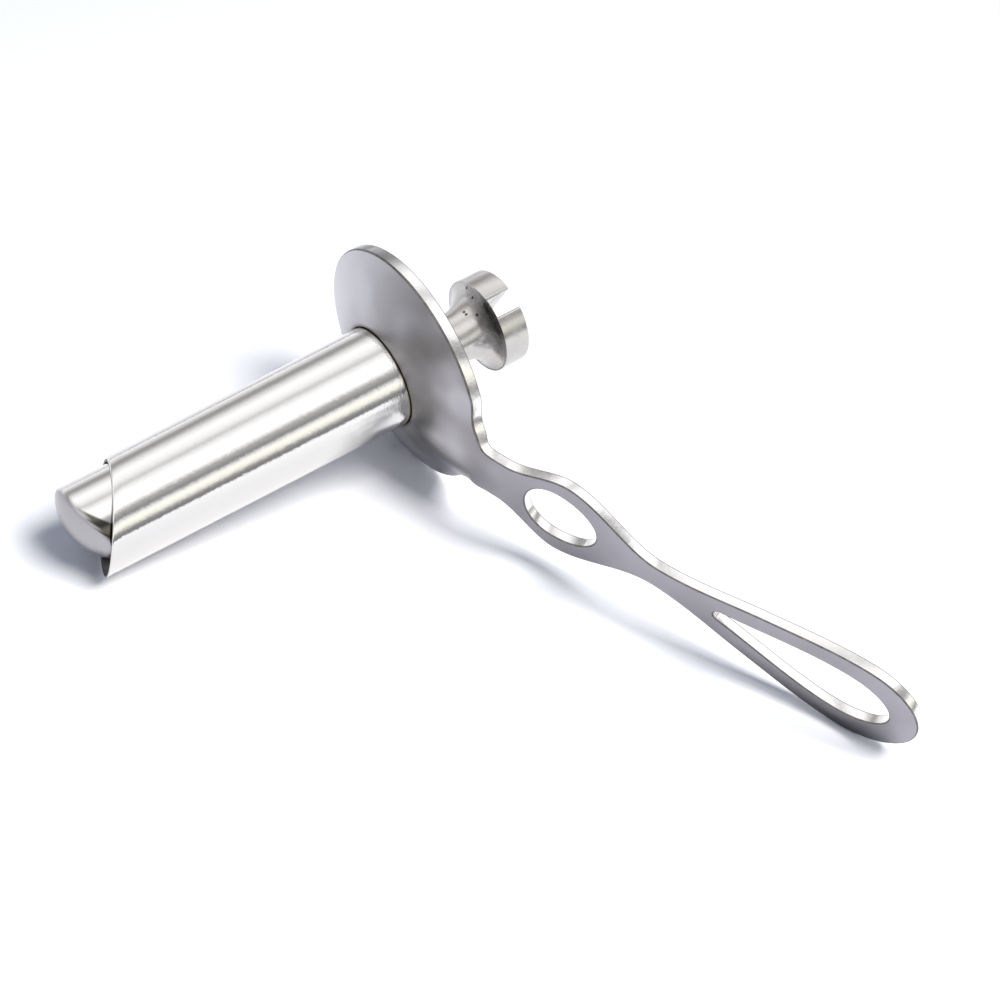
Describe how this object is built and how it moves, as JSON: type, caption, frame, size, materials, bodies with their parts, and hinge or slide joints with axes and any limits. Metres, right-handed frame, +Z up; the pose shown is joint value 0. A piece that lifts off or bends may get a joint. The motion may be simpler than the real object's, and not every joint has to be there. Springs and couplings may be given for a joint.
{
  "type": "anal speculum",
  "caption": "Steel anal speculum: a slant-ended tube on a dished round flange, a flat leaning handle with finger eyes, and a domed obturator drawn out by its slotted knob.",
  "frame": {"origin": "middle of the bounding box, at the height of the table that the instrument lies on", "axes": "+X along the tube towards its open far end as seen from above, +Y towards the handle, +Z up, with the instrument lying on the tube's end, the flange's rim and the handle's end"},
  "size_m": [0.1328, 0.1652, 0.0579],
  "materials": {
    "speculum_tube": "polished",
    "flange_handle": "satin",
    "obturator_tip": "satin polished",
    "obturator_rod": "satin",
    "obturator_knob": "turned satin"
  },
  "bodies": {
    "speculum": {"speculum_tube": "speculum_tube", "flange_handle": "flange_handle"},
    "obturator": {"obturator_tip": "obturator_tip", "obturator_rod": "obturator_rod", "obturator_knob": "obturator_knob"}
  },
  "joints": [
    {"name": "obturator_slide", "type": "slide", "parent": "speculum", "child": "obturator", "axis": [-0.9775, 0, 0.2109], "range_m": [0, 0.095]}
  ]
}
